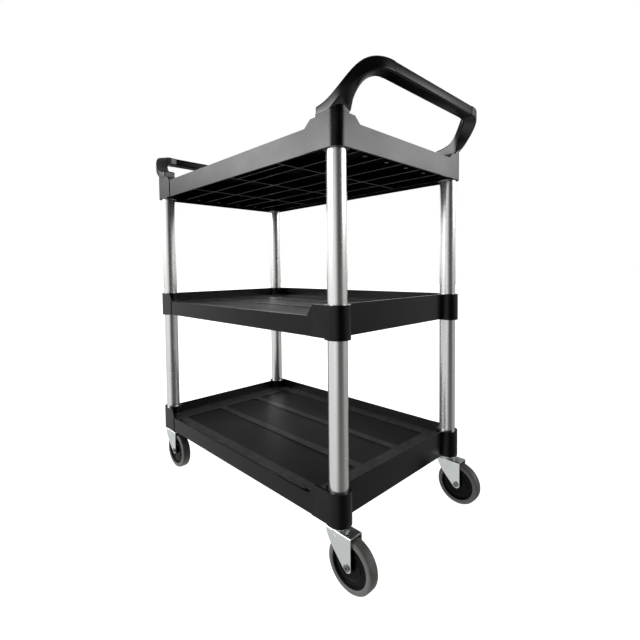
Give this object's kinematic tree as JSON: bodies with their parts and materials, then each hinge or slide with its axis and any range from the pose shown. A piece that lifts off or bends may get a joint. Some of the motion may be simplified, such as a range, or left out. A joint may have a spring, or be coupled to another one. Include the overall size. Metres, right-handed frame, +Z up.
{
  "type": "rolling utility cart",
  "caption": "Rolling utility cart: moulded trays with raised rims and a low front lip on round tube uprights, a push handle at each end and swivel casters at the corners.",
  "frame": {"origin": "on the floor under the middle of the cart", "axes": "+Z up, +X along the cart towards its right end, -Y towards the open front with the low lip"},
  "size_m": [0.854, 0.473, 0.959],
  "materials": {
    "tray_plastic": "fine moulded texture, satin black",
    "handle_plastic": "satin black moulding",
    "grip_plastic": "soft satin black cover",
    "insert_plastic": "plain moulding",
    "hub_plastic": "smooth black moulding",
    "aluminium_tube": "satin anodised tube",
    "zinc_plate": "bright zinc plating",
    "steel": "plated steel",
    "tyre_rubber": "warm grey rubber"
  },
  "bodies": {
    "root": {"top_shelf": "tray_plastic", "middle_shelf": "tray_plastic", "bottom_shelf": "tray_plastic", "handle_screws": "steel", "handle_right": "handle_plastic", "handle_left": "handle_plastic", "grip_right": "grip_plastic", "grip_left": "grip_plastic", "lower_upright_front_right": "aluminium_tube", "lower_upright_front_left": "aluminium_tube", "lower_upright_back_right": "aluminium_tube", "lower_upright_back_left": "aluminium_tube", "upper_upright_front_right": "aluminium_tube", "upper_upright_front_left": "aluminium_tube", "upper_upright_back_right": "aluminium_tube", "upper_upright_back_left": "aluminium_tube", "stem_socket_front_right": "insert_plastic", "stem_socket_front_left": "insert_plastic", "stem_socket_back_right": "insert_plastic", "stem_socket_back_left": "insert_plastic", "swivel_stem_front_right": "steel", "swivel_stem_front_left": "steel", "swivel_stem_back_right": "steel", "swivel_stem_back_left": "steel", "upper_raceway_front_right": "zinc_plate", "upper_raceway_front_left": "zinc_plate", "upper_raceway_back_right": "zinc_plate", "upper_raceway_back_left": "zinc_plate"},
    "caster_front_right": {"race_balls_front_right": "steel", "fork_front_right": "zinc_plate", "axle_bolt_front_right": "steel", "axle_nut_front_right": "steel", "axle_sleeve_front_right": "steel"},
    "wheel_front_right": {"wheel_hub_front_right": "hub_plastic", "tyre_front_right": "tyre_rubber"},
    "caster_front_left": {"race_balls_front_left": "steel", "fork_front_left": "zinc_plate", "axle_bolt_front_left": "steel", "axle_nut_front_left": "steel", "axle_sleeve_front_left": "steel"},
    "wheel_front_left": {"wheel_hub_front_left": "hub_plastic", "tyre_front_left": "tyre_rubber"},
    "caster_back_right": {"race_balls_back_right": "steel", "fork_back_right": "zinc_plate", "axle_bolt_back_right": "steel", "axle_nut_back_right": "steel", "axle_sleeve_back_right": "steel"},
    "wheel_back_right": {"wheel_hub_back_right": "hub_plastic", "tyre_back_right": "tyre_rubber"},
    "caster_back_left": {"race_balls_back_left": "steel", "fork_back_left": "zinc_plate", "axle_bolt_back_left": "steel", "axle_nut_back_left": "steel", "axle_sleeve_back_left": "steel"},
    "wheel_back_left": {"wheel_hub_back_left": "hub_plastic", "tyre_back_left": "tyre_rubber"}
  },
  "joints": [
    {"name": "swivel_front_right", "type": "hinge", "parent": "root", "child": "caster_front_right", "pos_m": [0.339, -0.2115, 0.11], "axis": [0, 0, 1], "continuous": true},
    {"name": "wheel_spin_front_right", "type": "hinge", "parent": "caster_front_right", "child": "wheel_front_right", "pos_m": [0.371, -0.2115, 0.0508], "axis": [0, 1, 0], "continuous": true},
    {"name": "swivel_front_left", "type": "hinge", "parent": "root", "child": "caster_front_left", "pos_m": [-0.339, -0.2115, 0.11], "axis": [0, 0, 1], "continuous": true},
    {"name": "wheel_spin_front_left", "type": "hinge", "parent": "caster_front_left", "child": "wheel_front_left", "pos_m": [-0.307, -0.2115, 0.0508], "axis": [0, 1, 0], "continuous": true},
    {"name": "swivel_back_right", "type": "hinge", "parent": "root", "child": "caster_back_right", "pos_m": [0.339, 0.2115, 0.11], "axis": [0, 0, 1], "continuous": true},
    {"name": "wheel_spin_back_right", "type": "hinge", "parent": "caster_back_right", "child": "wheel_back_right", "pos_m": [0.371, 0.2115, 0.0508], "axis": [0, 1, 0], "continuous": true},
    {"name": "swivel_back_left", "type": "hinge", "parent": "root", "child": "caster_back_left", "pos_m": [-0.339, 0.2115, 0.11], "axis": [0, 0, 1], "continuous": true},
    {"name": "wheel_spin_back_left", "type": "hinge", "parent": "caster_back_left", "child": "wheel_back_left", "pos_m": [-0.307, 0.2115, 0.0508], "axis": [0, 1, 0], "continuous": true}
  ]
}
